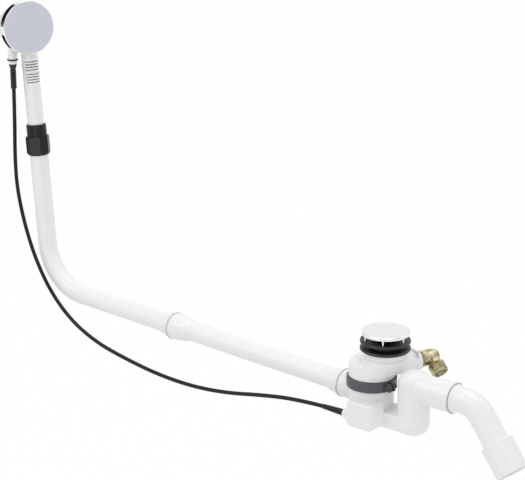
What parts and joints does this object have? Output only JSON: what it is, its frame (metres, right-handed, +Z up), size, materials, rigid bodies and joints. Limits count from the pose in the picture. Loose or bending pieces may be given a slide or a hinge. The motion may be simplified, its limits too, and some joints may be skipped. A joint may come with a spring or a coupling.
{
  "type": "bath waste and overflow",
  "caption": "Bath waste with trap, fill inlet, clamp ring and swivel outlet, and a long overflow pipe whose knob works the drain valve through a flexible cable.",
  "frame": {"origin": "on the axis of the bath floor's waste hole, on the gasket face that carries the bath floor", "axes": "+Z up out of the bath floor, +X from the overflow towards the outlet"},
  "size_m": [1.0471, 0.1622, 0.5943],
  "materials": {
    "white_polypropylene": "moulded satin gloss",
    "chromed_metal": "bright chrome plate",
    "black_rubber": "moulded matt",
    "dark_grey_nylon": "moulded satin",
    "black_plastic": "moulded satin",
    "brass": "pressed and turned",
    "stainless_steel": "plain",
    "pale_acetal": "moulded satin",
    "cable_sheath": "extruded satin"
  },
  "bodies": {
    "waste_and_pipe": {"upper_body": "white_polypropylene", "trap_body": "white_polypropylene", "actuator_cover": "white_polypropylene", "overflow_bend": "white_polypropylene", "overflow_run": "white_polypropylene", "waste_cover": "chromed_metal", "waste_gasket": "black_rubber", "inlet_seals": "black_rubber", "body_seal": "black_rubber", "shaft_seal": "black_rubber", "mid_seal": "black_rubber", "run_seal": "black_rubber", "union_seal": "black_rubber", "outlet_seal": "black_rubber", "clamp_ring": "dark_grey_nylon", "clamp_screw": "dark_grey_nylon", "clamp_nut": "dark_grey_nylon", "union_nut": "black_plastic", "union_collet": "black_plastic", "cable_ferrule": "black_plastic", "waste_flange": "black_plastic", "inlet_elbow": "brass", "inlet_clip": "stainless_steel", "bowden_cable": "cable_sheath"},
    "overflow_head": {"overflow_body": "white_polypropylene", "overflow_gasket": "black_rubber", "overflow_flange": "chromed_metal", "flange_screws": "stainless_steel", "cable_adjuster": "white_polypropylene", "adjuster_nut": "black_plastic", "upper_boot": "black_rubber"},
    "knob": {"overflow_knob": "chromed_metal", "knob_spindle": "stainless_steel", "cable_drum": "pale_acetal"},
    "valve": {"valve_plug": "black_plastic", "valve_seal": "black_rubber", "lift_pin": "stainless_steel"},
    "rocker": {"rocker_shaft": "stainless_steel", "rocker_crank": "pale_acetal", "lifter_arm": "pale_acetal"},
    "wire": {"inner_wire": "stainless_steel"},
    "outlet": {"outlet_bend": "white_polypropylene", "outlet_sleeve": "white_polypropylene", "sleeve_seal": "black_rubber"}
  },
  "joints": [
    {"name": "overflow_height", "type": "slide", "parent": "waste_and_pipe", "child": "overflow_head", "axis": [-0.0872, 0, 0.9962], "range_m": [-0.04, 0.03], "deforming": ["bowden_cable"]},
    {"name": "knob_turn", "type": "hinge", "parent": "overflow_head", "child": "knob", "pos_m": [-0.76584, -0.01269, 0.39386], "axis": [0.9361, -0.342, 0.0819], "range_deg": [0, 110]},
    {"name": "valve_lift", "type": "slide", "parent": "waste_and_pipe", "child": "valve", "axis": [0, 0, 1], "range_m": [-0.0089, 0]},
    {"name": "rocker_turn", "type": "hinge", "parent": "waste_and_pipe", "child": "rocker", "pos_m": [-0.013, 0, -0.0895], "axis": [0, 1, 0], "range_deg": [0, 40]},
    {"name": "wire_slide", "type": "slide", "parent": "waste_and_pipe", "child": "wire", "axis": [1, 0, 0], "range_m": [-0.01311, 0]},
    {"name": "outlet_swivel", "type": "hinge", "parent": "waste_and_pipe", "child": "outlet", "pos_m": [0.129, 0, -0.0505], "axis": [1, 0, 0], "continuous": true}
  ],
  "couplings": [
    {"joint": "valve_lift", "follows": "knob_turn", "m_per_rad": -0.0046305},
    {"joint": "rocker_turn", "follows": "knob_turn", "ratio": 0.36355},
    {"joint": "wire_slide", "follows": "knob_turn", "m_per_rad": -0.0068234}
  ]
}
